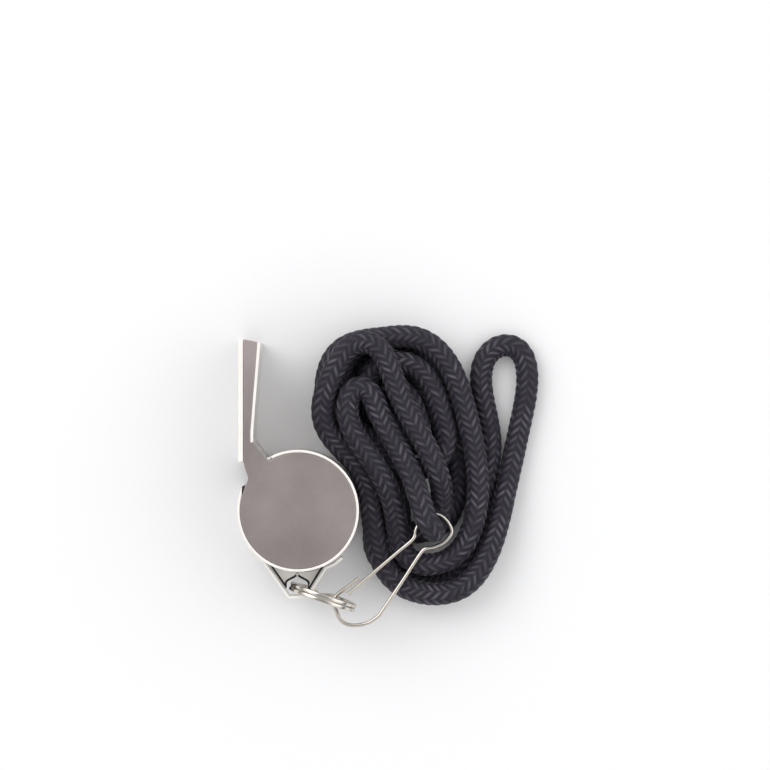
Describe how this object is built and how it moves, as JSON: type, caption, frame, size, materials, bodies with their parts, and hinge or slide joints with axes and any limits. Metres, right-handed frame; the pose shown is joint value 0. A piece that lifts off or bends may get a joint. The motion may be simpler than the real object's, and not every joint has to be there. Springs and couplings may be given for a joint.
{
  "type": "pea whistle with lanyard",
  "caption": "Metal pea whistle with a cork ball, a lug with split ring, a wire snap hook and a braided neck lanyard wound into a hank.",
  "frame": {"origin": "on the barrel's axis, on the outer face of the rear side plate, which the whistle lies on", "axes": "+Y along the mouthpiece towards its tip, +Z along the barrel's axis towards the front side plate, +X away from the mouthpiece's roof"},
  "size_m": [0.0517, 0.0519, 0.017],
  "materials": {
    "side_plate": "bright plated, softly brushed",
    "sheet": "bright plated",
    "wire": "bright plated",
    "cork": "natural cork",
    "braid": "braided polyester"
  },
  "bodies": {
    "whistle": {"front_plate": "side_plate", "rear_plate": "side_plate", "barrel_band": "sheet", "mouthpiece_roof": "sheet", "mouthpiece_floor": "sheet", "windway_block": "side_plate", "lug_strap": "sheet", "lug_web": "sheet"},
    "pea": {"cork_pea": "cork"},
    "ring": {"split_ring": "wire"},
    "hook": {"snap_hook": "wire"},
    "gate": {"snap_gate": "wire"},
    "lanyard": {"lanyard_hank": "braid", "lanyard_lead": "braid", "lanyard_loop": "braid"}
  },
  "joints": [
    {"name": "pea_orbit", "type": "hinge", "parent": "whistle", "child": "pea", "pos_m": [0, 0, 0.00565], "axis": [0, 0, 1], "continuous": true},
    {"name": "ring_swing", "type": "hinge", "parent": "whistle", "child": "ring", "pos_m": [-0.0011, -0.0132, 0.0085], "axis": [0, 0, 1], "range_deg": [-55, 0]},
    {"name": "hook_swing", "type": "hinge", "parent": "ring", "child": "hook", "pos_m": [0.00928, -0.01685, 0.0085], "axis": [0, 0, 1], "range_deg": [-60, 0]},
    {"name": "gate_flex", "type": "hinge", "parent": "hook", "child": "gate", "pos_m": [0.02193, -0.00113, 0.0085], "axis": [0, 0, 1], "range_deg": [0, 3.8], "stiffness_Nm_per_rad": 0.05},
    {"name": "cord_swing", "type": "hinge", "parent": "hook", "child": "lanyard", "pos_m": [0.0232, -0.00374, 0.0085], "axis": [0, 0, 1], "range_deg": [-30, 0]}
  ]
}
